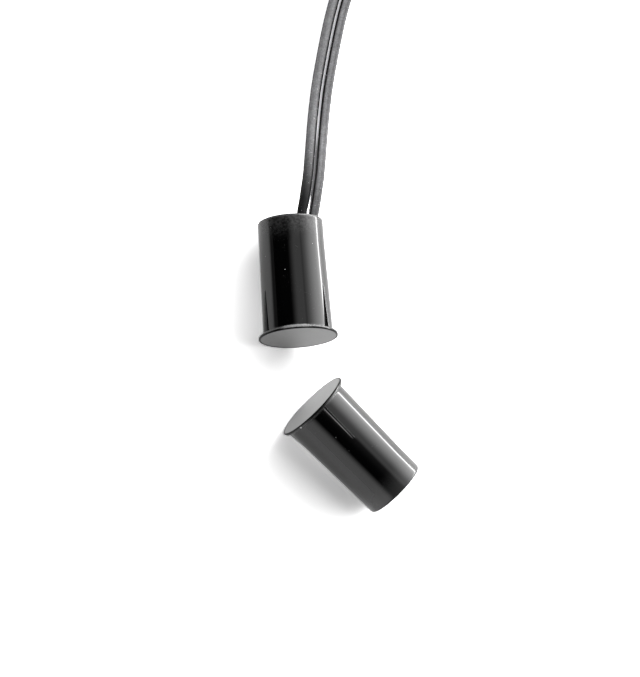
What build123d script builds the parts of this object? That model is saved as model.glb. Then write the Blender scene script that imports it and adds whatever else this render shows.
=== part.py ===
"""Recessed magnetic contact of the press-fit kind for a 3/8 in drilled hole, in millimetres.

Two halves share one moulded housing. The switch half holds a glass reed capsule wired to a twin lead, and the
magnet half holds a rod magnet. Both are sealed with potting and lie on their sides, as on a bench.
Each half is modelled standing on its flange face, with +Z along its axis to the open end, +X towards the side
where the lead leaves and -Y upwards once the half lies down. It is then laid down as a whole.
"""

import os
from math import asin, atan2, cos, degrees, hypot, pi, radians, sin, tan

from build123d import *

os.makedirs("parts", exist_ok=True)

# Housing moulding
housing_length = 16.4
body_root_diameter = 9.5
body_draft = 0.3
flange_lip = 0.65
flange_rim_thickness = 0.27
flange_root_thickness = 0.5
flange_face_break = 0.07
flange_root_fillet = 0.25
pilot_length = 3.0
back_edge_fillet = 0.4
front_wall = 1.2
mouth_wall = 0.5
bore_draft = 0.05

# Crush ribs, wedges that grip the drilled hole and run out along the body
rib_count = 3
rib_length = 6.0
rib_height = 0.36
rib_root_width = 0.5
rib_tip_width = 0.36
rib_tip_height = 0.02
rib_sink = 0.25
rib_edge_fillet = 0.09
switch_rib_angle = 66.4
magnet_rib_angle = 40.8

# Potting
potting_recess = 0.9

# Reed capsule
capsule_diameter = 2.0
capsule_wall = 0.32
capsule_from_floor = 2.0
capsule_from_surface = 2.3
seal_length = 1.4
seal_shoulder = 0.6
cavity_shoulder = 0.1
stem_diameter = 0.5
stem_outside = 1.3
blade_width = 0.75
blade_thickness = 0.18
blade_overlap = 0.9
blade_tip_fillet = 0.2
contact_gap = 0.1

# Twin lead, two insulated wires side by side
leg_diameter = 1.24
leg_spacing = 1.8
core_diameter = 0.76
web_thickness = 0.35
lead_to_bore = 0.18
wire_to_capsule = 0.31
exit_sink = 0.3
long_leg_end = 3.9
front_joint_above_floor = 1.25
rear_joint_from_capsule = 0.75
core_bend_radius = 0.42
stripped_slack = 0.1
joint_diameter = 1.3
joint_solder_gap = 0.05

# Rod magnet
magnet_diameter = 6.35
magnet_length = 9.5
magnet_edge = 0.3

# Where the halves lie, as the flange faces' centres in plan, and the headings of their axes
switch_face_x = -5.369
switch_face_y = 3.45
switch_heading = 90.0
magnet_face_x = -3.952
magnet_face_y = -5.892
magnet_heading = -43.14

# Free lead: its first straight run, then the corners that it rounds on its way down and along the floor, each as a
# place in plan and the gap under the lead there
first_run = 1.8
lead_corners = [
    (-2.34, 22.6, 3.4),
    (-1.78, 24.5, 2.96),
    (-1.16, 26.5, 2.38),
    (-0.59, 28.75, 1.68),
    (-0.01, 31.14, 0.98),
    (0.51, 33.64, 0.45),
    (1.02, 36.22, 0.14),
    (1.6, 39.3, 0.02),
    (2.33, 42.42, 0.0),
    (3.39, 46.64, 0.0),
    (4.68, 50.87, 0.0),
    (6.42, 55.4, 0.0),
    (7.9, 59.8, 0.03),
    (8.82, 63.9, 0.15),
    (9.18, 67.8, 0.28),
]

# Coil and tie that put away the unseen length
coil_centre_x = -7.7
coil_centre_y = 71.6
coil_turn_radius = 15.4
coil_slack = 0.12
coil_turns = 2.28
coil_layers = 2
coil_edge_fillet = 0.7
tie_thickness = 0.3
tie_arc = 15.0
tie_angle = 200.0

# Tail of the lead: degrees on from the coil's end, distance from the coil's middle and height of each corner
tail_corners = [
    (18.0, 15.0, 1.54),
    (36.0, 13.6, 1.5),
    (54.0, 11.4, 1.3),
    (70.0, 9.9, 0.6),
    (84.0, 9.1, 0.12),
    (101.0, 8.5, 0.1),
]
bare_end_length = 6.0

root_radius = body_root_diameter / 2
flange_radius = root_radius + flange_lip
pilot_radius = root_radius - body_draft
pilot_start = housing_length - back_edge_fillet - pilot_length
bore_mouth_radius = pilot_radius - mouth_wall
bore_floor_radius = bore_mouth_radius - bore_draft
potting_level = housing_length - potting_recess


def body_radius(z):
    """Radius of the drafted body at height z, between the flange and the pilot."""
    share = (z - flange_root_thickness) / (pilot_start - flange_root_thickness)
    return root_radius + (pilot_radius - root_radius) * share


def bore_radius(z):
    """Radius of the drafted bore at height z."""
    share = (z - front_wall) / (housing_length - front_wall)
    return bore_floor_radius + (bore_mouth_radius - bore_floor_radius) * share


# Crush rib, one wedge against the body on the +X side
rib_end = flange_root_thickness + rib_length
rib_start = flange_root_thickness - flange_rim_thickness / 2
with BuildPart() as crush_rib:
    for z, height, width in (
        (rib_start, rib_height, rib_root_width),
        (rib_end, rib_tip_height, rib_tip_width),
    ):
        with BuildSketch(Plane.XY.offset(z)):
            with Locations((body_radius(z) + (height - rib_sink) / 2, 0)):
                Rectangle(height + rib_sink, width)
    loft()
    crest = crush_rib.faces().sort_by(Axis.X)[-1]
    fillet(crest.edges().filter_by(lambda edge: edge.length > rib_length / 2), rib_edge_fillet)


def moulded_housing(rib_angle):
    """The cup that both halves use: flange, drafted body with three crush ribs, pilot and blind bore."""
    with BuildPart() as housing:
        with BuildSketch(Plane.XZ) as section:
            with BuildLine():
                Polyline(
                    (0, 0),
                    (flange_radius, 0),
                    (flange_radius, flange_rim_thickness),
                    (root_radius, flange_root_thickness),
                    (pilot_radius, pilot_start),
                    (pilot_radius, housing_length),
                    (bore_mouth_radius, housing_length),
                    (bore_floor_radius, front_wall),
                    (0, front_wall),
                    close=True,
                )
            make_face()
            for corner, radius in (
                ((flange_radius, 0), flange_face_break),
                ((root_radius, flange_root_thickness), flange_root_fillet),
                ((pilot_radius, housing_length), back_edge_fillet),
            ):
                fillet(section.vertices().sort_by_distance(corner)[0], radius)
        revolve(axis=Axis.Z)
        with PolarLocations(0, rib_count, start_angle=rib_angle):
            add(crush_rib.part)
    return housing


def bore_fill():
    """Section of the potting that fills a bore, up to its level."""
    with BuildSketch(Plane.XZ) as section:
        with BuildLine():
            Polyline(
                (0, front_wall),
                (bore_floor_radius, front_wall),
                (bore_radius(potting_level), potting_level),
                (0, potting_level),
                close=True,
            )
        make_face()
    return section.sketch


switch_housing = moulded_housing(switch_rib_angle)
magnet_housing = moulded_housing(magnet_rib_angle)

# Glass capsule, sealed at both ends round the reeds
capsule_front = front_wall + capsule_from_floor
capsule_back = potting_level - capsule_from_surface
capsule_length = capsule_back - capsule_front
cavity_front = capsule_front + seal_length
cavity_back = capsule_back - seal_length
capsule_radius = capsule_diameter / 2
cavity_radius = capsule_radius - capsule_wall
with BuildPart() as capsule_envelope:
    with Locations((0, 0, capsule_front)):
        Cylinder(capsule_radius, capsule_length, align=(Align.CENTER, Align.CENTER, Align.MIN))
    fillet(capsule_envelope.edges().filter_by(GeomType.CIRCLE), seal_shoulder)
with BuildPart() as glass_capsule:
    add(capsule_envelope.part)
    with BuildSketch(Plane.XZ) as cavity_section:
        with BuildLine():
            Polyline(
                (0, cavity_front),
                (cavity_radius, cavity_front),
                (cavity_radius, cavity_back),
                (0, cavity_back),
                close=True,
            )
        make_face()
        fillet(cavity_section.vertices().group_by(Axis.X)[-1], cavity_shoulder)
    revolve(axis=Axis.Z, mode=Mode.SUBTRACT)
    with BuildSketch(Plane.XY.offset(capsule_front)):
        Circle(stem_diameter / 2)
    extrude(amount=capsule_length, mode=Mode.SUBTRACT)


def reed_stem(outer_end, inner_end):
    """Round end of a reed, from its tip outside the glass to the cavity."""
    with BuildPart() as stem:
        with BuildSketch(Plane.XY.offset(outer_end)):
            Circle(stem_diameter / 2)
        extrude(amount=inner_end - outer_end)
    return stem


def reed_blade(root, tip, side):
    """Flattened end of a reed, beside the axis by half the contact gap."""
    with BuildPart() as blade:
        with BuildSketch(Plane.XY.offset(root)):
            with Locations((0, side * (contact_gap + blade_thickness) / 2)):
                Rectangle(blade_width, blade_thickness)
        extrude(amount=tip - root)
        tip_edges = blade.edges().filter_by(Axis.Y).sort_by_distance((0, 0, tip))[:2]
        fillet(tip_edges, blade_tip_fillet)
    return blade


capsule_middle = (cavity_front + cavity_back) / 2
front_stem_tip = capsule_front - stem_outside
rear_stem_tip = capsule_back + stem_outside
front_reed_stem = reed_stem(front_stem_tip, cavity_front)
rear_reed_stem = reed_stem(rear_stem_tip, cavity_back)
front_reed_blade = reed_blade(cavity_front, capsule_middle + blade_overlap / 2, -1)
rear_reed_blade = reed_blade(cavity_back, capsule_middle - blade_overlap / 2, 1)

# The lead's two wires inside the potting lean outwards, and the long one passes the capsule to the front reed
leg_radius = leg_diameter / 2
lead_width = leg_spacing + leg_diameter
lead_offset = bore_radius(potting_level) - lead_width / 2 - lead_to_bore
clear_of_capsule = capsule_radius + wire_to_capsule + leg_radius
lean = atan2(lead_offset + leg_spacing / 2 - clear_of_capsule, potting_level - long_leg_end)
lean_along = Vector(sin(lean), 0, cos(lean))
potting_face = Plane.XY.offset(potting_level)
front_joint_z = front_wall + front_joint_above_floor
rear_joint_z = capsule_back + rear_joint_from_capsule
short_leg_end = rear_joint_z + core_bend_radius + stripped_slack


def leg_point(side, z):
    """Point at height z on the centreline of the lead's wire at +X (side 1) or -X (side -1)."""
    return Vector(lead_offset + side * leg_spacing / 2 / cos(lean) + (z - potting_level) * tan(lean), 0, z)


def wire_core(side, joint_z):
    """Bare conductor that comes forward from the potting's surface and turns in to a reed's stem."""
    with BuildPart() as core:
        with BuildLine() as route:
            FilletPolyline(
                leg_point(side, housing_length),
                leg_point(side, joint_z),
                (stem_diameter / 2 + joint_solder_gap, 0, joint_z),
                radius=core_bend_radius,
            )
        with BuildSketch(Plane(origin=route.wire() @ 0, z_dir=route.wire() % 0)):
            Circle(core_diameter / 2)
        sweep()
        split(bisect_by=potting_face, keep=Keep.BOTTOM)
    return core


def wire_insulation(side, end_z, core):
    """Insulation left on one wire inside the potting, from the surface forward to where it is stripped."""
    with BuildPart() as insulation:
        with BuildSketch(Plane(origin=leg_point(side, end_z), z_dir=lean_along)):
            Circle(leg_radius)
        extrude(amount=housing_length - end_z)
        split(bisect_by=potting_face, keep=Keep.BOTTOM)
        add(core.part, mode=Mode.SUBTRACT)
    return insulation


def solder_bead(joint_z):
    """Ball of solder at the place where a conductor meets a stem."""
    with BuildPart() as bead:
        with Locations(Location((stem_diameter / 2, 0, joint_z), (90, 180, 0))):
            Sphere(joint_diameter / 2)
    return bead


def solder_joint(bead, stem, core):
    """Solder that is left of a ball round the stem and the conductor."""
    with BuildPart() as joint:
        add(bead.part)
        add(stem.part, mode=Mode.SUBTRACT)
        add(core.part, mode=Mode.SUBTRACT)
    return joint


long_leg_core = wire_core(1, front_joint_z)
short_leg_core = wire_core(-1, rear_joint_z)
long_leg_insulation = wire_insulation(1, long_leg_end, long_leg_core)
short_leg_insulation = wire_insulation(-1, short_leg_end, short_leg_core)
front_bead = solder_bead(front_joint_z)
rear_bead = solder_bead(rear_joint_z)
front_solder_joint = solder_joint(front_bead, front_reed_stem, long_leg_core)
rear_solder_joint = solder_joint(rear_bead, rear_reed_stem, short_leg_core)

# Potting of the switch half, cast round everything in the bore
with BuildPart() as switch_potting:
    add(bore_fill())
    revolve(axis=Axis.Z)
    for buried in (
        capsule_envelope,
        front_reed_stem,
        rear_reed_stem,
        long_leg_core,
        short_leg_core,
        long_leg_insulation,
        short_leg_insulation,
        front_bead,
        rear_bead,
    ):
        add(buried.part, mode=Mode.SUBTRACT)

# Rod magnet against the front wall, and the potting round and behind it
with BuildPart() as rod_magnet:
    with Locations((0, 0, front_wall)):
        Cylinder(magnet_diameter / 2, magnet_length, align=(Align.CENTER, Align.CENTER, Align.MIN))
    chamfer(rod_magnet.edges().filter_by(GeomType.CIRCLE), magnet_edge)
with BuildPart() as magnet_potting:
    add(bore_fill())
    revolve(axis=Axis.Z)
    add(rod_magnet.part, mode=Mode.SUBTRACT)

# A half at rest touches the floor with the back corner of its flange's rim and the round of its back edge
round_centre_out = pilot_radius - back_edge_fillet
round_centre_along = housing_length - back_edge_fillet - flange_rim_thickness
rim_to_round = hypot(round_centre_along, flange_radius - round_centre_out)
rest_tilt = atan2(flange_radius - round_centre_out, round_centre_along) - asin(back_edge_fillet / rim_to_round)
face_height = flange_radius * cos(rest_tilt) + flange_rim_thickness * sin(rest_tilt)


def lying_place(face_x, face_y, heading):
    """Place of a half at rest, from its flange face's centre in plan and its axis's compass heading."""
    turn = radians(heading)
    along = (cos(turn) * cos(rest_tilt), sin(turn) * cos(rest_tilt), -sin(rest_tilt))
    return Plane(origin=(face_x, face_y, face_height), x_dir=(sin(turn), -cos(turn), 0), z_dir=along).location


switch_place = lying_place(switch_face_x, switch_face_y, switch_heading)
magnet_place = lying_place(magnet_face_x, magnet_face_y, magnet_heading)

# Free lead, from the potting's surface along the floor to the coil
exit_plane = Plane(switch_place * Location((lead_offset, 0, potting_level)))
lead_exit = exit_plane.origin
exit_along = exit_plane.from_local_coords(lean_along) - lead_exit
coil_centre = Vector(coil_centre_x, coil_centre_y, 0)
coil_width = 2 * lead_width + coil_slack
coil_height = coil_layers * leg_diameter
lead_route = [
    lead_exit - exit_along * exit_sink,
    lead_exit + exit_along * first_run,
    *(Vector(x, y, leg_radius + gap) for x, y, gap in lead_corners),
    coil_centre + Vector(coil_turn_radius + lead_width / 2, 0, leg_radius + tie_thickness),
]


def arc_radii(points):
    """Radius at each corner: 0.45 of its shorter run over the tangent of half the turn."""
    radii = []
    for before, corner, after in zip(points, points[1:], points[2:]):
        run_in = corner - before
        run_out = after - corner
        half_turn = radians(run_in.get_angle(run_out)) / 2
        radii.append(0.45 * min(run_in.length, run_out.length) / tan(half_turn))
    return radii


def level_plane(wire, share):
    """Plane across a wire at that share of its length, with its X axis on the level."""
    return Plane(origin=wire @ share, x_dir=(wire % share).cross(Vector(0, 0, 1)), z_dir=wire % share)


def twin_lead(points):
    """Figure-of-eight lead along straight runs joined by tangent arcs, its two wires side by side on the level."""
    with BuildPart() as lead:
        with BuildLine() as route:
            FilletPolyline(*points, radius=arc_radii(points))
        wire = route.wire()
        with BuildSketch(level_plane(wire, 0)) as section:
            with Locations((-leg_spacing / 2, 0), (leg_spacing / 2, 0)):
                Circle(leg_radius)
            Rectangle(leg_spacing, web_thickness)
        sweep()
    print("arc radii", [round(radius, 1) for radius in arc_radii(points)], "length", round(wire.length, 2))
    print("volume over section times length", round(lead.part.volume / (section.sketch.area * wire.length), 4))
    return lead, wire


sunk_lead, lead_wire = twin_lead(lead_route)
with BuildPart() as lead_tube:
    add(sunk_lead.part)
    split(bisect_by=exit_plane, keep=Keep.TOP)

# Coil of the unseen length, as the closed outer shape of its turns, and the tie round it
coil_middle = coil_centre + Vector(coil_turn_radius, 0, tie_thickness + coil_height / 2)
coil_axis = Axis(coil_centre, (0, 0, 1))
with BuildPart() as lead_coil:
    with BuildSketch(Plane(origin=coil_middle, x_dir=(1, 0, 0), z_dir=(0, -1, 0))):
        RectangleRounded(coil_width, coil_height, coil_edge_fillet)
    revolve(axis=coil_axis)
with BuildPart() as coil_tie:
    turned = Location(coil_centre, (0, 0, 1), tie_angle)
    start = turned * Location(coil_middle - coil_centre) * Location((0, 0, 0), (1, 0, 0), 90)
    with BuildSketch(Plane(start)):
        RectangleRounded(coil_width + 2 * tie_thickness, coil_height + 2 * tie_thickness, coil_edge_fillet + tie_thickness)
        RectangleRounded(coil_width, coil_height, coil_edge_fillet, mode=Mode.SUBTRACT)
    revolve(axis=coil_axis, revolution_arc=tie_arc)

# Tail that leaves the top of the coil and comes down inside it, with both conductors bared and tinned
coil_top_gap = tie_thickness + coil_height - leg_diameter
tail_route = []
for turned_on, reach, gap in [(0, coil_turn_radius, coil_top_gap), *tail_corners]:
    tail_angle = radians(360 * coil_turns + turned_on)
    tail_route.append(coil_centre + Vector(reach * cos(tail_angle), reach * sin(tail_angle), leg_radius + gap))
lead_tail, tail_wire = twin_lead(tail_route)
with BuildPart() as lead_tips:
    with BuildSketch(level_plane(tail_wire, 1)):
        with Locations((-leg_spacing / 2, 0), (leg_spacing / 2, 0)):
            Circle(core_diameter / 2)
    extrude(amount=bare_end_length)
coiled = 2 * pi * coil_turn_radius * coil_turns
print("lead length", round(lead_wire.length + coiled + tail_wire.length + bare_end_length, 1))

# Laying down and handing over
switch_pieces = {
    "switch_housing": switch_housing,
    "glass_capsule": glass_capsule,
    "front_reed_stem": front_reed_stem,
    "rear_reed_stem": rear_reed_stem,
    "front_reed_blade": front_reed_blade,
    "rear_reed_blade": rear_reed_blade,
    "front_solder_joint": front_solder_joint,
    "rear_solder_joint": rear_solder_joint,
    "long_leg_insulation": long_leg_insulation,
    "long_leg_core": long_leg_core,
    "short_leg_insulation": short_leg_insulation,
    "short_leg_core": short_leg_core,
    "switch_potting": switch_potting,
}
magnet_pieces = {
    "magnet_housing": magnet_housing,
    "rod_magnet": rod_magnet,
    "magnet_potting": magnet_potting,
}
lead_pieces = {
    "lead_tube": lead_tube,
    "lead_coil": lead_coil,
    "coil_tie": coil_tie,
    "lead_tail": lead_tail,
    "lead_tips": lead_tips,
}
for pieces, place in ((switch_pieces, switch_place), (magnet_pieces, magnet_place), (lead_pieces, Location())):
    for name, piece in pieces.items():
        piece.part.label = name
        piece.part.move(place)
        export_step(piece.part, f"parts/{name}.step")
print("rest tilt", round(degrees(rest_tilt), 3), "face height", round(face_height, 4))
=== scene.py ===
from math import atan2, ceil, cos, pi, radians, sin

import bpy
import numpy as np
from mathutils import Matrix, Vector


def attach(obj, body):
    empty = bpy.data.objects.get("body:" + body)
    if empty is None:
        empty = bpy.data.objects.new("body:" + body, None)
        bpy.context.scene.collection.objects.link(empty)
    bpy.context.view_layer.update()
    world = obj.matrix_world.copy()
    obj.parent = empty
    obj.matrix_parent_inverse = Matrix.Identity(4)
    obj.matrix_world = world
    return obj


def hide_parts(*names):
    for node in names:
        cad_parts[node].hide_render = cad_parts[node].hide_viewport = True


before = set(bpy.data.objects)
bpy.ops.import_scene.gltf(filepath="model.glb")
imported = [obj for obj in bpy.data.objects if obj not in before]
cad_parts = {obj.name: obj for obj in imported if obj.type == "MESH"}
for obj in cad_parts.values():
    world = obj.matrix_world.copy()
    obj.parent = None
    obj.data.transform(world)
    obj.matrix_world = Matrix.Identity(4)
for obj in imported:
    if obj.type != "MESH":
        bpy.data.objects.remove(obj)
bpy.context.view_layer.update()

MM = 0.001

# Camera: a long lens far above, a little from the left and the front
camera_right = Vector((0.936813, -0.049895, 0.346253))
camera_up = Vector((-0.021909, 0.979466, 0.200417))
camera_back = Vector((-0.349143, -0.195339, 0.916483))
camera_aim = Vector((-0.185, 4.591, 0.0)) * MM
camera_distance = 2.581
camera_lens = 1010.34

camera = bpy.data.objects.new("photo_camera", bpy.data.cameras.new("photo_camera"))
bpy.context.collection.objects.link(camera)
turn = Matrix((camera_right, camera_up, camera_back)).transposed().to_4x4()
camera.matrix_world = Matrix.Translation(camera_aim + camera_back * camera_distance) @ turn
camera.data.lens = camera_lens
camera.data.clip_start = 0.1
camera.data.clip_end = 20.0
bpy.context.scene.camera = camera
bpy.context.scene.view_settings.view_transform = "Standard"

# Housing moulding, in millimetres: heights are from its face, along its own axis
housing_length = 16.4
root_radius = 4.75
flange_radius = 5.4
flange_root = 0.5
face_edge_round = 0.09
flange_back_round = 0.42
pilot_radius = 4.45
pilot_start = 13.0
open_end_round = 0.4
front_wall = 1.2
mouth_radius = 3.95
mouth_edge = 0.05
floor_radius = 3.9
rib_reach = 6.0
potting_level = 15.5

# A half lies on its flange's rim and on its open end
rest_tilt = radians(3.453491)
face_height = 5.406458


def half_place(face_x, face_y, heading):
    """Matrix that lays a half down: its own +Z along its axis, +X to the lead's side, -Y upwards."""
    a = radians(heading)
    along = Vector((cos(a) * cos(rest_tilt), sin(a) * cos(rest_tilt), -sin(rest_tilt)))
    across = Vector((sin(a), -cos(a), 0))
    down = along.cross(across)
    place = Matrix((across, down, along)).transposed().to_4x4()
    return Matrix.Translation(Vector((face_x, face_y, face_height)) * MM) @ place @ Matrix.Scale(MM, 4)


switch_place = half_place(-5.369, 3.45, 90.0)
magnet_place = half_place(-3.952, -5.892, -43.14)


def new_object(name, mesh, smooth=True):
    """Object of a mesh, linked to the scene."""
    thing = bpy.data.objects.new(name, mesh)
    bpy.context.collection.objects.link(thing)
    if smooth:
        mesh.shade_smooth()
    return thing


def plain_mesh(name, points, faces=(), edges=()):
    """Mesh of points with faces, edges or neither."""
    mesh = bpy.data.meshes.new(name)
    mesh.from_pydata([tuple(map(float, p)) for p in points], list(edges), [tuple(map(int, f)) for f in faces])
    mesh.update()
    return mesh


def evaluated_mesh(thing):
    """Plain mesh of an object with its modifiers or its curve worked out."""
    bpy.context.view_layer.update()
    return bpy.data.meshes.new_from_object(thing.evaluated_get(bpy.context.evaluated_depsgraph_get()))


class Tree:
    """Geometry or shader node tree that is built by short calls."""

    def __init__(self, tree):
        self.tree = tree

    def feed(self, value, socket):
        """Links an output to a socket, or sets the socket to a constant."""
        if isinstance(value, bpy.types.NodeSocket):
            self.tree.links.new(value, socket)
        else:
            socket.default_value = value

    def add(self, kind, settings=None, **inputs):
        """New node. Its inputs are given by name, or by place as i0, i1 and so on."""
        node = self.tree.nodes.new(kind)
        for key, value in (settings or {}).items():
            setattr(node, key, value)
        for key, value in inputs.items():
            by_place = key[0] == "i" and key[1:].isdigit()
            self.feed(value, node.inputs[int(key[1:]) if by_place else key.replace("_", " ")])
        return node

    def math(self, operation, a, b=0.0):
        """Number from one or two others, by a Math node."""
        return self.add("ShaderNodeMath", {"operation": operation}, i0=a, i1=b).outputs[0]

    def in_turn(self, operation, values):
        """First value taken with each of the others in turn."""
        total = values[0]
        for value in values[1:]:
            total = self.math(operation, total, value)
        return total

    def plus(self, *values):
        return self.in_turn("ADD", values)

    def times(self, *values):
        return self.in_turn("MULTIPLY", values)

    def most(self, *values):
        return self.in_turn("MAXIMUM", values)

    def minus(self, a, b):
        return self.math("SUBTRACT", a, b)

    def over(self, a, b):
        return self.math("DIVIDE", a, b)

    def above(self, a, limit):
        return self.math("GREATER_THAN", a, limit)

    def mix(self, factor, a, b):
        """Number between a and b."""
        return self.add("ShaderNodeMix", {"data_type": "FLOAT"}, Factor=factor, i2=a, i3=b).outputs[0]

    def mix_colours(self, factor, a, b):
        """Colour between a and b."""
        node = self.add("ShaderNodeMix", {"data_type": "RGBA"}, Factor=factor, A=a, B=b)
        return node.outputs["Result"]

    def grey(self, level, blue=1.0):
        """Colour of one level, with its blue a little up or down."""
        blue_level = level if blue == 1.0 else self.times(level, blue)
        return self.add("ShaderNodeCombineColor", Red=level, Green=level, Blue=blue_level).outputs[0]

    def ramp(self, value, low, high, to_low=0.0, to_high=1.0, kind="SMOOTHSTEP"):
        """Goes from to_low, where value is at low, to to_high, where it is at high."""
        node = self.add(
            "ShaderNodeMapRange",
            {"interpolation_type": kind},
            Value=value,
            From_Min=low,
            From_Max=high,
            To_Min=to_low,
            To_Max=to_high,
        )
        return node.outputs[0]

    def split(self, vector):
        """X, Y and Z of a vector, by name."""
        return self.add("ShaderNodeSeparateXYZ", Vector=vector).outputs

    def object_place(self):
        """Place on the piece's own coordinates, in metres."""
        return self.add("ShaderNodeTexCoord").outputs["Object"]

    def distance(self, place, point):
        """How far a place is from a point."""
        node = self.add("ShaderNodeVectorMath", {"operation": "DISTANCE"}, i0=place, i1=point)
        return node.outputs["Value"]

    def noise(self, scale, detail=2.0):
        """Noise on the piece's own coordinates, in metres."""
        node = self.add(
            "ShaderNodeTexNoise", Vector=self.object_place(), Scale=scale, Detail=detail, Roughness=0.5
        )
        return node.outputs["Fac"]


# Lead, in millimetres
leg_radius = 0.62
leg_spacing = 1.8
coil_x, coil_y, coil_turn_radius = -7.7, 71.6, 15.4
coil_turns = 2.28
tie_thickness = 0.3
tie_angle = 200.0
bare_end = 6.0
lead_offset = 2.247
clear_of_capsule = 1.93
long_leg_end = 3.9
lean = atan2(lead_offset + leg_spacing / 2 - clear_of_capsule, potting_level - long_leg_end)

# Route: out of the potting, down to the floor and along it. Each row is x, y and the gap under the lead
exit_shift = 0.14
straight_out = 1.8
lead_exit = switch_place @ Vector((lead_offset + exit_shift, 0, potting_level)) / MM
exit_along = (switch_place.to_3x3() @ Vector((sin(lean), 0, cos(lean)))).normalized()
route = [lead_exit, lead_exit + exit_along * straight_out]
for x, y, gap in (
    (-2.19, 22.6, 3.4),
    (-1.66, 24.5, 2.96),
    (-1.05, 26.5, 2.38),
    (-0.49, 28.75, 1.68),
    (0.08, 31.14, 0.98),
    (0.6, 33.64, 0.45),
    (1.1, 36.22, 0.14),
    (1.68, 39.3, 0.02),
    (2.41, 42.42, 0.0),
    (3.46, 46.64, 0.0),
    (4.68, 50.87, 0.0),
    (6.42, 55.4, 0.0),
    (7.9, 59.8, 0.03),
    (8.82, 63.9, 0.15),
    (9.18, 67.8, 0.2),
):
    route.append(Vector((x, y, leg_radius + gap)))

# Coil: one turn outside, the next beside it, and the last part of a turn on top of both. The pairs are in
# degrees round: where the lead moves inwards, where it climbs, and how far from the tie it comes down
outer_turn = coil_turn_radius + 1.53
inner_turn = coil_turn_radius - 1.56
layer_step = 1.2
coil_step = 22.5
degrees_in_coil = 360 * coil_turns
moves_inwards = (285, 352)
climbs = (652, 716)
resting_gap = 0.02
first_gap = 0.2
levels_out_by = 40
comes_down = (8, 55)
# The route's points lie a little outside the curve that they draw
point_share = 0.75 + 0.25 * cos(radians(coil_step))


def between(value, low, high):
    """Smooth step of value from 0 at low to 1 at high."""
    t = min(1.0, max(0.0, (value - low) / (high - low)))
    return t * t * (3 - 2 * t)


def coil_point(angle):
    """Point of the lead's route in the coil, at that many degrees round from its start."""
    inwards = between(angle, *moves_inwards)
    upwards = between(angle, *climbs)
    radius = outer_turn + (inner_turn - outer_turn) * inwards + (coil_turn_radius - inner_turn) * upwards
    # Hand-wound: the turns wander by a tenth of a millimetre
    radius += 0.07 * sin(radians(angle * 1.7)) + 0.05 * sin(radians(angle * 3.1))
    off_tie = abs((angle - tie_angle + 180) % 360 - 180)
    lifted = tie_thickness * (1 - between(off_tie, *comes_down)) + resting_gap
    height = leg_radius + lifted + layer_step * upwards
    if angle < levels_out_by:
        height += (first_gap - lifted) * (1 - between(angle, 0, levels_out_by))
    a = radians(angle)
    radius /= point_share
    return Vector((coil_x + radius * cos(a), coil_y + radius * sin(a), height))


for count in range(int(degrees_in_coil / coil_step) + 1):
    route.append(coil_point(count * coil_step))

# Tail, into the coil's ring: degrees on from the coil's end, distance from its middle, gap under the lead
for turned_on, reach, gap in (
    (6.0, 15.45, 1.54),
    (20.0, 15.1, 1.54),
    (36.0, 13.7, 1.5),
    (54.0, 11.5, 1.3),
    (70.0, 9.95, 0.6),
    (84.0, 9.1, 0.12),
    (101.0, 8.5, 0.1),
):
    a = radians(degrees_in_coil + turned_on)
    route.append(Vector((coil_x + reach * cos(a), coil_y + reach * sin(a), leg_radius + gap)))

curve = bpy.data.curves.new("lead_route", "CURVE")
curve.dimensions = "3D"
curve.resolution_u = 10
spline = curve.splines.new("NURBS")
spline.points.add(len(route) - 1)
for point, place in zip(spline.points, route):
    point.co = (*(place * MM), 1.0)
spline.order_u = 3
spline.use_endpoint_u = True
route_object = bpy.data.objects.new("lead_route", curve)
bpy.context.collection.objects.link(route_object)
followed = evaluated_mesh(route_object)
path = np.array([v.co[:] for v in followed.vertices])
bpy.data.objects.remove(route_object)
bpy.data.meshes.remove(followed)


def evenly(points, step):
    """Points at even steps along a line of points, and how far along it each one is."""
    lengths = np.r_[0, np.cumsum(np.linalg.norm(np.diff(points, axis=0), axis=1))]
    at = np.linspace(0, lengths[-1], int(ceil(lengths[-1] / step)) + 1)
    return np.stack([np.interp(at, lengths, points[:, k]) for k in range(3)], 1), at


def frames(points):
    """Direction, level side and upper side at each point of a line."""
    along = np.gradient(points, axis=0)
    along /= np.linalg.norm(along, axis=1)[:, None]
    side = np.cross(along, (0, 0, 1.0))
    side /= np.linalg.norm(side, axis=1)[:, None]
    return along, side, np.cross(side, along)


def sweep(points, side, over, section):
    """Points and faces of a closed tube: section is each ring's offsets, sideways and over, in metres."""
    rings, count = section.shape[:2]
    ring = points[:, None, :] + section[..., :1] * side[:, None, :] + section[..., 1:] * over[:, None, :]
    faces = []
    for i in range(rings - 1):
        a, b = i * count, (i + 1) * count
        faces += [(a + k, a + (k + 1) % count, b + (k + 1) % count, b + k) for k in range(count)]
    faces.append(tuple(range(count - 1, -1, -1)))
    last = (rings - 1) * count
    faces.append(tuple(last + k for k in range(count)))
    return ring.reshape(-1, 3), faces


def joined(parts):
    """One list of points and faces from several."""
    verts, faces, base = [], [], 0
    for part_verts, part_faces in parts:
        verts.append(part_verts)
        faces += [tuple(base + k for k in face) for face in part_faces]
        base += len(part_verts)
    return np.concatenate(verts), faces


# Two insulated wires, each a little squarer than round
ring_step = 0.45
leg_sides = 32
squareness = 0.86
path, path_at = evenly(path, ring_step * MM)
along, side, over = frames(path)
rings = len(path)
from_exit = path_at / MM
around = np.linspace(0, 2 * pi, leg_sides, endpoint=False)
parts = []
for hand in (-1, 1):
    section = np.empty((rings, leg_sides, 2))
    section[..., 0] = hand * leg_spacing / 2 + leg_radius * np.cos(around)
    section[..., 1] = leg_radius * np.sign(np.sin(around)) * np.abs(np.sin(around)) ** squareness
    parts.append(sweep(path, side, over, section * MM))

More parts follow.
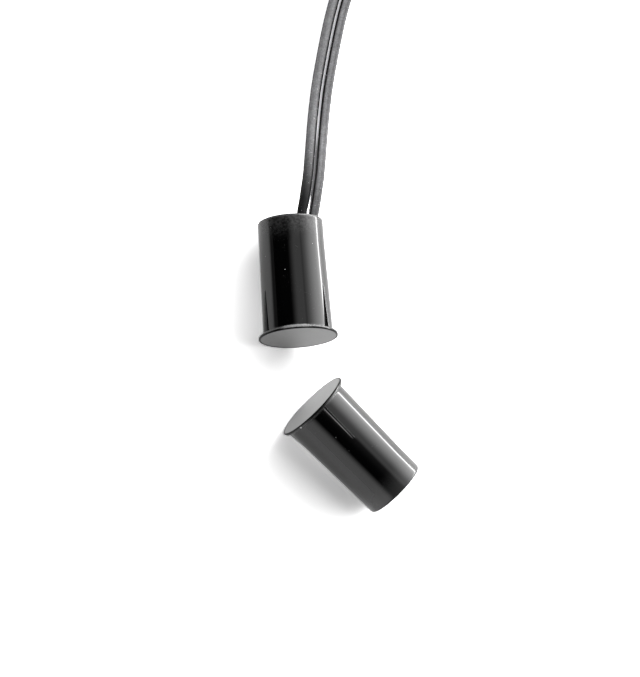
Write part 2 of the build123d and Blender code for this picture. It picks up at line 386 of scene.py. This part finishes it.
# Web between the wires, torn open in a narrow wedge where the lead leaves the potting
torn = 5.3
web_thickness = 0.48
web_sunk = 0.06
web_root = leg_spacing / 2 - leg_radius + web_sunk
web_left_on = 0.1
web_overlap = 0.02
# Share of the way to the middle, and half thicknesses under or over the middle
web_section = ((0, -1), (0.5, -0.72), (0.85, -0.62), (1, -0.35), (1, 0.35), (0.85, 0.62), (0.5, 0.72), (0, 1))
web_shares = [share for share, rise in web_section]
web_sides = len(web_section)
tear_curve = 0.8
still_torn = np.clip((torn - from_exit) / torn, 0, 1) ** tear_curve
web_reach = web_root - still_torn * (web_root - web_left_on)
web_reach = np.where(from_exit > torn, web_root + web_overlap, web_reach)
for hand in (-1, 1):
    section = np.empty((rings, web_sides, 2))
    for k, (share, rise) in enumerate(web_section):
        section[:, k, 0] = hand * (web_root - web_reach * share)
        section[:, k, 1] = rise * web_thickness / 2
    parts.append(sweep(path, side, over, (section if hand < 0 else section[:, ::-1]) * MM))
verts, faces = joined(parts)
lead = new_object("twin_lead", plain_mesh("twin_lead", verts, faces))

# Its map: U is 0 to 1 round the left wire, 1 to 2 round the right one and 2 to 3 over the web from its root
# to its middle, and V is the run in centimetres
round_wire = np.tile(np.arange(leg_sides) / leg_sides, rings)
over_web = 2 + np.tile(web_shares, 2 * rings)
vertex_u = np.concatenate([round_wire, round_wire + 1, over_web])
tube_sides = (leg_sides, leg_sides, web_sides, web_sides)
vertex_v = np.concatenate([np.repeat(path_at, sides) for sides in tube_sides])
uv = lead.data.uv_layers.new(name="along_lead")
loop_vertex = np.empty(len(lead.data.loops), int)
lead.data.loops.foreach_get("vertex_index", loop_vertex)
uv.data.foreach_set("uv", np.stack([vertex_u[loop_vertex], vertex_v[loop_vertex] * 100], 1).ravel())


# Moulding: one turned section with its three crush ribs, by geometry nodes
def rounded(centre, radius, from_angle, to_angle, steps):
    """Points of an arc in the section, angles in degrees from the radial direction."""
    angles = np.radians(np.linspace(from_angle, to_angle, steps))
    return [(centre[0] + radius * cos(a), centre[1] + radius * sin(a)) for a in angles]


def body_radius(z):
    """Radius of the drafted body."""
    return root_radius + (pilot_radius - root_radius) * (z - flange_root) / (pilot_start - flange_root)


# Section as radius and height: face, flange, fillet, body, pilot, open end, inside
section = [(0.0, 0.0), (1.0, 0.0), (2.2, 0.0), (3.4, 0.0), (4.5, 0.0), (5.1, 0.0)]
section += rounded((flange_radius - face_edge_round, face_edge_round), face_edge_round, -90, 0, 7)
section += rounded((flange_radius - flange_back_round, 0.13), flange_back_round, 0, 74, 10)
fillet = [(5.04, 0.54), (4.93, 0.552), (4.83, 0.57), (4.775, 0.61), (4.752, 0.67)]
ribbed_fillet_rows = 3
section += fillet
ribbed_from = len(section)
section += [(body_radius(z), z) for z in np.linspace(0.8, flange_root + rib_reach + 0.3, 34)]
ribbed_to = len(section)
section += [(body_radius(z), z) for z in np.linspace(7.5, pilot_start, 9)]
section += [(pilot_radius, z) for z in (13.6, 14.4, 15.2, 15.8)]
section += rounded(
    (pilot_radius - open_end_round, housing_length - open_end_round), open_end_round, 0, 90, 11
)
section += [(mouth_radius + mouth_edge, housing_length), (mouth_radius, housing_length - mouth_edge)]
section += [(mouth_radius - 0.003, 15.9), (mouth_radius - 0.006, 15.4)]
section += [(floor_radius, front_wall), (0.0, front_wall)]
section_mesh = plain_mesh("housing_section", [(r * MM, 0, z * MM) for r, z in section])


def new_tree(name, source, sizes, result):
    """Node group that takes a mesh, sizes and a finish, and gives a mesh: the group, its tree, its inputs."""
    group = bpy.data.node_groups.new(name, "GeometryNodeTree")
    face = group.interface
    face.new_socket(source, in_out="INPUT", socket_type="NodeSocketGeometry")
    for size_name, value in sizes:
        kind = "NodeSocketInt" if isinstance(value, int) else "NodeSocketFloat"
        face.new_socket(size_name, in_out="INPUT", socket_type=kind).default_value = value
    face.new_socket("Finish", in_out="INPUT", socket_type="NodeSocketMaterial")
    face.new_socket(result, in_out="OUTPUT", socket_type="NodeSocketGeometry")
    t = Tree(group)
    return group, t, t.add("NodeGroupInput").outputs


def end_tree(t, geometry, finish, result):
    """Smooth shading, Realize Instances and Set Material, at a tree's end."""
    smooth = t.add("GeometryNodeSetShadeSmooth", Geometry=geometry)
    real = t.add("GeometryNodeRealizeInstances", Geometry=smooth.outputs[0])
    done = t.add("GeometryNodeSetMaterial", Geometry=real.outputs[0], Material=finish)
    t.add("NodeGroupOutput", **{result: done.outputs[0]})


def moulding_tree():
    """Turns the section round its axis and raises the crush ribs out of it."""
    sizes = (
        ("Rows", len(section)),
        ("Rib Count", 3),
        ("Columns per Rib", 104),
        ("Rib Angle", 0.0),
        ("Rib Start", flange_root * MM),
        ("Rib Length", rib_reach * MM),
        ("Rib Height", 0.36 * MM),
        ("Rib Root Width", 0.5 * MM),
        ("Rib Tip Width", 0.36 * MM),
        ("Rib Sink", 0.06 * MM),
    )
    group, t, given = new_tree("turned_moulding", "Section", sizes, "Moulding")
    rib_columns = given["Columns per Rib"]

    # A sheet with a column for each step round the axis and a row for each point of the section
    columns = t.times(given["Rib Count"], rib_columns)
    sheet = t.add(
        "GeometryNodeMeshGrid",
        Size_X=1.0,
        Size_Y=1.0,
        Vertices_X=t.plus(columns, 1.0),
        Vertices_Y=given["Rows"],
    )
    index = t.add("GeometryNodeInputIndex").outputs[0]
    column = t.math("FLOOR", t.over(t.plus(index, 0.5), given["Rows"]))
    row = t.minus(index, t.times(column, given["Rows"]))
    position = t.add("GeometryNodeInputPosition").outputs[0]
    sample = t.add(
        "GeometryNodeSampleIndex",
        {"data_type": "FLOAT_VECTOR"},
        Geometry=given["Section"],
        Value=position,
        Index=row,
    )
    sampled = t.split(sample.outputs[0])
    radius, height = sampled["X"], sampled["Z"]

    # Where the point is in its own third: 0 on the rib, 1 half way to the next
    in_third = t.math("FRACT", t.over(t.plus(column, t.times(rib_columns, 0.5)), rib_columns))
    signed = t.minus(t.times(in_third, 2.0), 1.0)
    away = t.math("ABSOLUTE", signed)
    third = t.math("FLOOR", t.plus(t.over(column, rib_columns), 0.5))

    # The rib gets narrower along its length, from 0 at the flange to 1 at its tip
    share = t.over(t.minus(height, given["Rib Start"]), given["Rib Length"])
    share = t.ramp(share, 0.0, 1.0, kind="LINEAR")
    half_width = t.times(0.5, t.mix(share, given["Rib Root Width"], given["Rib Tip Width"]))
    half_angle = t.over(half_width, root_radius * MM)

    # Three tenths of the columns stay within one and a half times the rib's half width
    near_share = 0.3
    near_halves = 1.5
    near_reach = t.times(half_angle, near_halves)
    half_sector = t.over(pi, given["Rib Count"])
    near_angle = t.times(t.over(away, near_share), near_reach)
    beyond = t.over(t.minus(away, near_share), 1 - near_share)
    far_angle = t.plus(near_reach, t.times(beyond, t.minus(half_sector, near_reach)))
    angle = t.mix(t.above(away, near_share), near_angle, far_angle)

    # Rib's section: a flank, and a crown that is slightly sunk in the middle
    in_halves = t.over(angle, half_angle)
    flank = t.ramp(in_halves, 0.8, 1.16, 1.0, 0.0)
    lost_by_tip = 0.84
    crown_share = 0.84
    wedge = t.times(given["Rib Height"], t.minus(1.0, t.times(share, lost_by_tip)))
    wedge = t.times(wedge, t.ramp(share, 0.965, 0.995, 1.0, 0.0))
    sink = t.times(given["Rib Sink"], t.ramp(wedge, 0.0, 0.18 * MM))
    over_crown = t.math("MINIMUM", t.over(in_halves, crown_share), 1.0)
    hollow = t.minus(1.0, t.math("POWER", over_crown, 2.0))
    wedge = t.minus(wedge, t.times(sink, hollow))
    first = t.above(row, ribbed_from - ribbed_fillet_rows - 0.5)
    last = t.math("LESS_THAN", row, ribbed_to + 0.5)
    radius = t.plus(radius, t.times(t.times(flank, wedge), t.times(first, last)))

    turned = t.times(angle, t.math("SIGN", signed))
    turned = t.plus(turned, t.times(third, t.times(half_sector, 2.0)), given["Rib Angle"])
    place = t.add(
        "ShaderNodeCombineXYZ",
        X=t.times(radius, t.math("COSINE", turned)),
        Y=t.times(radius, t.math("SINE", turned)),
        Z=height,
    )
    moved = t.add("GeometryNodeSetPosition", Geometry=sheet.outputs["Mesh"], Position=place.outputs[0])
    sewn = t.add("GeometryNodeMergeByDistance", Geometry=moved.outputs[0], Distance=0.002 * MM)

    # The finish reads this: radius, angle round the axis and height, all on the moulding itself
    kept = t.split(position)
    squares = t.plus(t.math("POWER", kept["X"], 2.0), t.math("POWER", kept["Y"], 2.0))
    own_place = t.add(
        "ShaderNodeCombineXYZ",
        X=t.math("SQRT", squares),
        Y=t.math("ARCTAN2", kept["Y"], kept["X"]),
        Z=kept["Z"],
    )
    marked = t.add(
        "GeometryNodeStoreNamedAttribute",
        {"data_type": "FLOAT_VECTOR", "domain": "POINT"},
        Geometry=sewn.outputs[0],
        Name="moulding_place",
        Value=own_place.outputs[0],
    )
    end_tree(t, marked.outputs[0], given["Finish"], "Moulding")
    return group


def strand_tree():
    """Lays twisted strands round each line of the mesh that it is given, with one strand in the middle."""
    sizes = (
        ("Outer Strands", 6),
        ("Strand Radius", 0.124 * MM),
        ("Circle Radius", 0.253 * MM),
        ("Length of a Turn", 7.5 * MM),
    )
    group, t, given = new_tree("twisted_strands", "Lines", sizes, "Strands")
    lines = t.add("GeometryNodeMeshToCurve", Mesh=given["Lines"])
    copies = t.add(
        "GeometryNodeDuplicateElements",
        {"domain": "SPLINE"},
        Geometry=lines.outputs[0],
        Amount=t.plus(given["Outer Strands"], 1.0),
    )
    number = copies.outputs["Duplicate Index"]
    so_far = t.add("GeometryNodeSplineParameter").outputs["Length"]
    turns = t.plus(t.over(number, given["Outer Strands"]), t.over(so_far, given["Length of a Turn"]))
    turned = t.times(turns, 2 * pi)
    off_middle = t.times(given["Circle Radius"], t.above(number, 0.5))
    normal = t.add("GeometryNodeInputNormal").outputs[0]
    tangent = t.add("GeometryNodeInputTangent").outputs[0]
    across = t.add("ShaderNodeVectorMath", {"operation": "CROSS_PRODUCT"}, i0=tangent, i1=normal).outputs[0]
    moves = []
    for way, function in ((normal, "COSINE"), (across, "SINE")):
        size = t.times(off_middle, t.math(function, turned))
        moves.append(t.add("ShaderNodeVectorMath", {"operation": "SCALE"}, i0=way, Scale=size).outputs[0])
    offset = t.add("ShaderNodeVectorMath", {"operation": "ADD"}, i0=moves[0], i1=moves[1]).outputs[0]
    moved = t.add("GeometryNodeSetPosition", Geometry=copies.outputs["Geometry"], Offset=offset)
    ring = t.add("GeometryNodeCurvePrimitiveCircle", Resolution=10, Radius=given["Strand Radius"])
    tubes = t.add(
        "GeometryNodeCurveToMesh", Curve=moved.outputs[0], Profile_Curve=ring.outputs[0], Fill_Caps=True
    )
    end_tree(t, tubes.outputs[0], given["Finish"], "Strands")
    return group


def grown(name, mesh, tree, inputs):
    """Plain mesh object that a node tree makes from a mesh, with the tree's inputs set by name."""
    source = bpy.data.objects.new(name + "_source", mesh)
    bpy.context.collection.objects.link(source)
    modifier = source.modifiers.new("grow", "NODES")
    modifier.node_group = tree
    sockets = {item.name: item.identifier for item in tree.interface.items_tree if item.in_out == "INPUT"}
    for key, value in inputs.items():
        modifier[sockets[key]] = value
    result = evaluated_mesh(source)
    source.modifiers.clear()
    bpy.data.objects.remove(source)
    result.name = name
    return new_object(name, result, smooth=False)


class Finish(Tree):
    """Node material with a Principled shader, whose sockets are set or fed by name."""

    def __init__(self, name, **constants):
        self.material = bpy.data.materials.new(name)
        self.material.use_nodes = True
        super().__init__(self.material.node_tree)
        self.shader = next(n for n in self.tree.nodes if n.type == "BSDF_PRINCIPLED")
        self.wire(**constants)

    def wire(self, **values):
        """Constants or outputs for the shader's own sockets."""
        for key, value in values.items():
            self.feed(value, self.shader.inputs[key.replace("_", " ")])

    def bump(self, strength, depth, height):
        """Unevenness of that many metres at the most."""
        node = self.add("ShaderNodeBump", Strength=strength, Distance=depth, Height=height)
        self.wire(Normal=node.outputs[0])


# Single specks of dust: place and radius in millimetres, strength
specks_of_dust = (
    (-8.02, 12.23, 8.62, 0.055, 1.0),
    (-9.72, 14.53, 5.89, 0.06, 0.35),
    (-3.95, 15.84, 8.91, 0.05, 0.3),
    (-6.72, -9.55, 8.18, 0.1, 0.9),
    (-2.09, -10.98, 9.08, 0.07, 0.12),
    (-9.2, 18.3, 6.9, 0.06, 0.4),
    (-8.1, 17.6, 8.3, 0.05, 0.3),
    (-7.4, 19.2, 8.7, 0.06, 0.35),
)


def plastic():
    """Gloss black moulded plastic: faint ripple, fine dust, a painted highlight, painted dark edge lines, a
    paler and duller open end and a few specks.
    """
    t = Finish("gloss_black_plastic", IOR=1.53, Metallic=0.0)
    black, less_black = (0.0006, 0.0006, 0.0007, 1), (0.0012, 0.0012, 0.0013, 1)
    dust_and_highlight_grey, speck_white = (0.3, 0.3, 0.3, 1), (0.95, 0.95, 0.95, 1)
    where = t.object_place()
    rest_place = t.split(where)
    on_switch = t.above(rest_place["Y"], 0.0)
    own_place = t.split(t.add("ShaderNodeAttribute", {"attribute_name": "moulding_place"}).outputs["Vector"])
    radius, round_axis, height = own_place["X"], own_place["Y"], own_place["Z"]

    # Fine dust in patches
    paleness = t.ramp(t.noise(9000, 1.0), 0.74, 0.8)
    patches = t.ramp(t.noise(260), 0.52, 0.68)
    dust_and_painted_highlight = t.times(paleness, patches)

    # Painted highlight: the flange's rounded back edge is paler, with noise, on the switch half's upper side,
    # and a little paler all round on both halves
    collar = t.times(t.ramp(height, 0.12 * MM, 0.2 * MM), t.ramp(height, 0.68 * MM, 0.74 * MM, 1.0, 0.0))
    collar = t.times(collar, t.above(radius, 4.7 * MM))
    painted_crescent = t.times(t.ramp(round_axis, -2.45, -2.2), t.ramp(round_axis, -1.75, -1.5, on_switch, 0.0))
    painted_crescent = t.times(painted_crescent, collar, t.ramp(t.noise(5000), 0.3, 0.6, 0.5, 1.0))
    dust_and_painted_highlight = t.most(dust_and_painted_highlight, painted_crescent, t.times(collar, 0.05))

    # The open end is paler and duller, and patchy on the switch half
    uneven = t.ramp(t.noise(2600, 3.0), 0.35, 0.65, 0.3, 1.25)
    patchy = t.mix(t.times(on_switch, 0.9), 0.8, uneven)
    paler_open_end = t.times(t.ramp(height, 12.5 * MM, 16.3 * MM, 0.0, 0.17), patchy)
    dust_and_painted_highlight = t.most(dust_and_painted_highlight, paler_open_end)

    speck = 0.0
    for x, y, z, size, strength in specks_of_dust:
        away = t.distance(where, (x * MM, y * MM, z * MM))
        speck = t.most(speck, t.ramp(away, size * MM, size * MM * 1.6, strength, 0.0))

    tone = t.mix_colours(t.noise(900, 3.0), black, less_black)
    # Dust, the painted highlight on the flange's back edge and the paler open end turn the black towards grey
    tone = t.mix_colours(dust_and_painted_highlight, tone, dust_and_highlight_grey)
    rough = t.plus(t.ramp(t.noise(1400, 3.0), 0.3, 0.75, 0.045, 0.07), t.times(collar, 0.07))
    rough = t.plus(rough, t.times(speck, 0.5), t.times(dust_and_painted_highlight, 0.4))
    t.wire(Base_Color=t.mix_colours(speck, tone, speck_white), Roughness=rough)
    t.bump(0.06, 0.03 * MM, t.noise(700, 1.0))

    # Painted shade: less specular gives a dark ring at the face's edge, wider on its lower side, and a dark
    # line at the open end's edge, all round on the magnet half and on its left part on the switch half
    low = t.math("POWER", t.most(t.math("SINE", round_axis), 0.0), 2.0)
    dark_face_outline = t.ramp(t.plus(radius, t.times(low, 0.3 * MM)), 5.1 * MM, 5.17 * MM)
    dark_face_outline = t.times(dark_face_outline, t.ramp(height, 0.12 * MM, 0.2 * MM, 1.0, 0.0))
    dark_open_end_line = t.most(t.minus(1.0, on_switch), t.ramp(rest_place["X"], -6.4 * MM, -5.6 * MM, 1.0, 0.0))
    dark_open_end_line = t.times(t.ramp(height, 16.1 * MM, 16.25 * MM), dark_open_end_line)
    t.wire(Specular_IOR_Level=t.minus(0.5, t.times(t.most(dark_face_outline, dark_open_end_line), 0.46)))
    return t.material


def simple(name, colour, roughness, bump=0.1, scale=3000, metallic=0.0, spread=0.25, **more):
    """Finish with a colour and roughness that vary a little, and a fine bump."""
    t = Finish(name, Metallic=metallic, **more)
    low = tuple(c * (1 - spread) for c in colour) + (1,)
    high = tuple(min(1.0, c * (1 + spread)) for c in colour) + (1,)
    rough = t.ramp(t.noise(scale * 1.7), 0.3, 0.7, roughness * 0.85, roughness * 1.15)
    t.wire(Base_Color=t.mix_colours(t.noise(scale, 3.0), low, high), Roughness=rough)
    t.bump(bump, 0.03 * MM, t.noise(scale * 2.5))
    return t.material


def lead_insulation():
    """Satin black insulation with a chalky bloom, painted light round each wire, painted shade towards the
    barrel, and painted shade and a painted highlight in the web's groove.
    """
    t = Finish("black_insulation_bloom_and_painted_light", IOR=1.26, Metallic=0.0)
    uv = t.split(t.add("ShaderNodeUVMap", {"uv_map": "along_lead"}).outputs[0])
    run = uv["Y"]
    right_wire = t.times(t.above(uv["X"], 0.999), t.math("LESS_THAN", uv["X"], 1.999))
    groove = t.above(uv["X"], 1.999)

    # Painted light round each wire, by where it is round it: 0 at its right side, a quarter on top, a half at
    # its left side
    round_wire = t.math("FRACT", uv["X"])
    off_seam = t.times(t.ramp(round_wire, 0.05, 0.09), t.ramp(round_wire, 0.93, 0.96, 1.0, 0.0))
    left_wire_painted_light = t.times(t.ramp(round_wire, 0.08, 0.32, 0.05, 0.34), t.ramp(round_wire, 0.42, 0.52, 1.0, 0.35))
    left_wire_painted_light = t.times(left_wire_painted_light, off_seam)
    right_wire_painted_light = t.plus(t.ramp(round_wire, 0.02, 0.2, 0.09, 0.14), t.ramp(round_wire, 0.22, 0.34, 0.0, 0.3))
    right_wire_painted_light = t.times(right_wire_painted_light, t.ramp(round_wire, 0.39, 0.43, 1.0, 0.0))
    right_wire_painted_light = t.most(right_wire_painted_light, t.ramp(round_wire, 0.7, 0.95, 0.05, 0.09))
    paleness = t.mix(right_wire, left_wire_painted_light, right_wire_painted_light)

    # Painted shade: darker towards the barrel, within two centimetres on the left wire and on the right one
    painted_shade_near_barrel = t.mix(right_wire, t.ramp(run, 0.3, 1.9, 0.03, 1.0), t.ramp(run, 0.0, 1.7, 0.4, 1.0))
    grain = t.ramp(t.noise(5000), 0.3, 0.7, 0.8, 1.2)
    cloud = t.ramp(t.noise(1100, 3.0), 0.3, 0.7, 0.88, 1.12)
    tone = t.times(paleness, painted_shade_near_barrel, grain, cloud)
    # Painted shade and a painted highlight in the web's groove: black at its sides, a pale line in its
    # middle, fainter towards the barrel
    groove_painted_light = t.times(t.above(uv["X"], 2.55), t.ramp(run, 1.15, 1.6, 0.2, 0.85))
    tone = t.mix(groove, tone, groove_painted_light)
    specks = t.ramp(t.noise(4200, 1.0), 0.72, 0.76)
    tone = t.plus(tone, 0.008, t.times(specks, 0.35))
    rough = t.plus(t.ramp(t.noise(6000), 0.3, 0.7, 0.36, 0.5), t.times(specks, 0.3))

    # Painted shade: the left wire reflects less near the barrel, where it is in the barrel's shade
    shaded = t.times(t.minus(1.0, right_wire), t.ramp(run, 0.3, 1.3, 0.42, 0.0))
    t.wire(Base_Color=t.grey(tone, 1.03), Roughness=rough, Specular_IOR_Level=t.minus(0.5, shaded))
    t.bump(0.35, 0.04 * MM, t.plus(t.noise(5000, 3.0), t.times(specks, 1.5)))
    return t.material


black_plastic = plastic()
lead_bloom_and_painted_light = lead_insulation()
insulation = simple("satin_black_insulation", (0.035, 0.035, 0.037), 0.38, 0.25, 5000, IOR=1.5)
resin = simple("potting_resin", (0.02, 0.02, 0.02), 0.3, 0.3, 1500, IOR=1.52)
glass = simple(
    "capsule_glass", (0.85, 0.93, 0.9), 0.05, 0.05, 800, spread=0.02, IOR=1.5, Transmission_Weight=0.95
)
reed_metal = simple("reed_alloy", (0.62, 0.61, 0.58), 0.28, 0.15, 6000, 1.0, 0.08)
solder_metal = simple("bright_solder", (0.68, 0.68, 0.66), 0.3, 0.3, 4000, 1.0, 0.1)
tinned = simple("tinned_copper", (0.75, 0.72, 0.66), 0.3, 0.2, 6000, 1.0, 0.12)
nickel = simple("nickel_plate", (0.7, 0.7, 0.68), 0.15, 0.1, 2500, 1.0, 0.05)
tie_finish = simple("tie_wire_sleeve", (0.05, 0.05, 0.05), 0.45, 0.3, 4000)

# The two mouldings: the angle turns a rib into view, and the sink is how far the rib's crown is hollowed
tree = moulding_tree()
housings = []
for name, angle, sink, place in (
    ("switch", 66.4, 0.05, switch_place),
    ("magnet", 40.8, 0.085, magnet_place),
):
    settings = {"Rib Angle": radians(angle), "Rib Sink": sink * MM, "Finish": black_plastic}
    made = grown(f"{name}_moulding", section_mesh.copy(), tree, settings)
    made.data.transform(place @ Matrix.Scale(1 / MM, 4))
    made.data.update()
    housings.append(made)
switch_moulding, magnet_moulding = housings

lead.data.materials.append(lead_bloom_and_painted_light)

# Bare ends: stranded conductors, from a little inside the insulation
tip_start = -0.8
tip_steps = 36
tip_points, tip_edges = [], []
for hand in (-1, 1):
    start = path[-1] + side[-1] * hand * leg_spacing / 2 * MM
    for k in range(tip_steps):
        reach = (tip_start + (bare_end - tip_start) * k / (tip_steps - 1)) * MM
        tip_points.append(start + along[-1] * reach)
        if k:
            tip_edges.append((len(tip_points) - 2, len(tip_points) - 1))
tip_lines = plain_mesh("tip_lines", tip_points, edges=tip_edges)
stranded_tips = grown("stranded_tips", tip_lines, strand_tree(), {"Finish": tinned})

# CAD nodes that stay get their finish
for nodes, finish in (
    (("glass_capsule",), glass),
    (("front_reed_stem", "rear_reed_stem", "front_reed_blade", "rear_reed_blade"), reed_metal),
    (("front_solder_joint", "rear_solder_joint"), solder_metal),
    (("long_leg_core", "short_leg_core"), tinned),
    (("long_leg_insulation", "short_leg_insulation"), insulation),
    (("switch_potting", "magnet_potting"), resin),
    (("rod_magnet",), nickel),
    (("coil_tie",), tie_finish),
):
    for node in nodes:
        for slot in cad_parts[node].material_slots:
            slot.material = finish

# Stage: a plain pale floor, six metres to each side
white = (1, 1, 1, 1)
floor_reach = 6.0
corners = [(x * floor_reach, y * floor_reach, 0) for x, y in ((-1, -1), (1, -1), (1, 1), (-1, 1))]
floor = new_object("floor", plain_mesh("floor", corners, [(0, 1, 2, 3)]), smooth=False)
t = Finish("pale_floor", Roughness=0.32, IOR=1.45, Emission_Color=white)
seen = t.add("ShaderNodeLightPath").outputs
mirrored = t.most(seen["Is Glossy Ray"], seen["Is Transmission Ray"])
where = t.object_place()
place = t.split(where)

# As the barrels reflect it, it is darker past the left and the front of the halves
sheet_end = t.most(t.ramp(place["X"], -0.046, -0.024, 0.1, 1.0), t.ramp(place["Y"], -0.012, 0.0, 1.0, 0.0))
shade = t.times(t.plus(0.8, t.times(mirrored, 0.4)), sheet_end)
t.wire(Base_Color=t.grey(shade), Emission_Strength=t.times(mirrored, sheet_end, 0.26))

# As the camera sees it, it keeps the halves' shadows, with a faint painted shade between them and painted
# light beside the lead that hides the lead's shadow
to_painted_shade_centre = t.distance(where, (-5.5 * MM, 0.9 * MM, 0))
pale = t.grey(t.ramp(to_painted_shade_centre, 0.5 * MM, 7.5 * MM, 1.65, 2.4))
matt = t.add("ShaderNodeBsdfDiffuse", Color=pale)
# Painted light beside the lead, which hides its shadow
painted_light_by_lead = t.ramp(place["Y"], 0.014, 0.023, 0.0, 0.5)
glow = t.add("ShaderNodeEmission", Color=white, Strength=t.plus(0.19, painted_light_by_lead))
lit = t.add("ShaderNodeAddShader", i0=matt.outputs[0], i1=glow.outputs[0])
surface = t.add("ShaderNodeMixShader", i0=seen["Is Camera Ray"], i1=t.shader.outputs[0], i2=lit.outputs[0])
output = next(n for n in t.tree.nodes if n.type == "OUTPUT_MATERIAL")
t.feed(surface.outputs[0], output.inputs["Surface"])
floor.data.materials.append(t.material)

# Surroundings: a white tent with a wide dark gap, a soft light at the right and a low bright slit under it
world = bpy.data.worlds.new("studio")
bpy.context.scene.world = world
world.use_nodes = True
world.node_tree.nodes.clear()
t = Tree(world.node_tree)
toward = t.split(t.add("ShaderNodeTexCoord").outputs["Generated"])


def sideways(x, y):
    """How far a direction leans towards a place in plan."""
    return t.plus(t.times(toward["X"], x), t.times(toward["Y"], y))


# The tent and its gap, with a haze over a part of the gap and a seam at the back
tent_strength, near_extra, gap_depth = 0.95, 0.5, 0.94
haze_strength, seam_depth = 0.15, 0.28
across_gap = sideways(0.546, 0.838)
near_edge = t.ramp(across_gap, -0.93, -0.68, 1.0, 0.0)
far_edge = t.ramp(across_gap, -0.03, 0.2)
in_gap = t.minus(1.0, t.plus(near_edge, far_edge))
tent = t.minus(t.plus(tent_strength, t.times(near_edge, near_extra)), t.times(in_gap, gap_depth))
haze = t.times(t.ramp(sideways(0.8, -0.6), -0.25, 0.35), t.ramp(across_gap, -0.5, 0.1))
tent = t.plus(tent, t.times(haze, haze_strength))
seam = t.ramp(t.math("ABSOLUTE", t.minus(toward["X"], 0.2)), 0.02, 0.08, 1.0, 0.0)
seam = t.times(seam, t.ramp(toward["Y"], 0.1, 0.25))
tent = t.times(tent, t.minus(1.0, t.times(seam, seam_depth)))

# The lights at the right, with their strengths
soft_strength, low_strength, slit_strength = 4.6, 1.6, 12.0
overall_strength = 0.9
right_way = sideways(0.8, 0.6)
soft_light = t.times(t.ramp(right_way, 0.395, 1.02), soft_strength)
low_light = t.times(t.ramp(toward["Z"], 0.12, 0.4, 1.0, 0.0), t.ramp(right_way, 0.75, 0.9))
slit = t.times(t.ramp(toward["Z"], 0.012, 0.03), t.ramp(toward["Z"], 0.11, 0.13, 1.0, 0.0))
slit = t.times(slit, t.ramp(right_way, 0.6, 0.72))
level = t.plus(tent, soft_light)
level = t.plus(level, t.plus(t.times(low_light, low_strength), t.times(slit, slit_strength)))
level = t.times(level, overall_strength)

# The camera sees plain white
seen = t.add("ShaderNodeLightPath").outputs
around_sky = t.add("ShaderNodeBackground", Color=white, Strength=level)
white_sky = t.add("ShaderNodeBackground", Color=white, Strength=1.0)
sky = t.add(
    "ShaderNodeMixShader", i0=seen["Is Camera Ray"], i1=around_sky.outputs[0], i2=white_sky.outputs[0]
)
t.add("ShaderNodeOutputWorld", Surface=sky.outputs[0])

# What rides on what
for piece, body, slot, nodes in (
    (switch_moulding, "switch_half", "black_plastic", ("switch_housing",)),
    (magnet_moulding, "magnet_half", "black_plastic", ("magnet_housing",)),
    (lead, "switch_half", "wire_insulation", ("lead_tube", "lead_coil", "lead_tail")),
    (stranded_tips, "switch_half", "tinned_copper", ("lead_tips",)),
):
    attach(piece, body)
    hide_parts(*nodes)
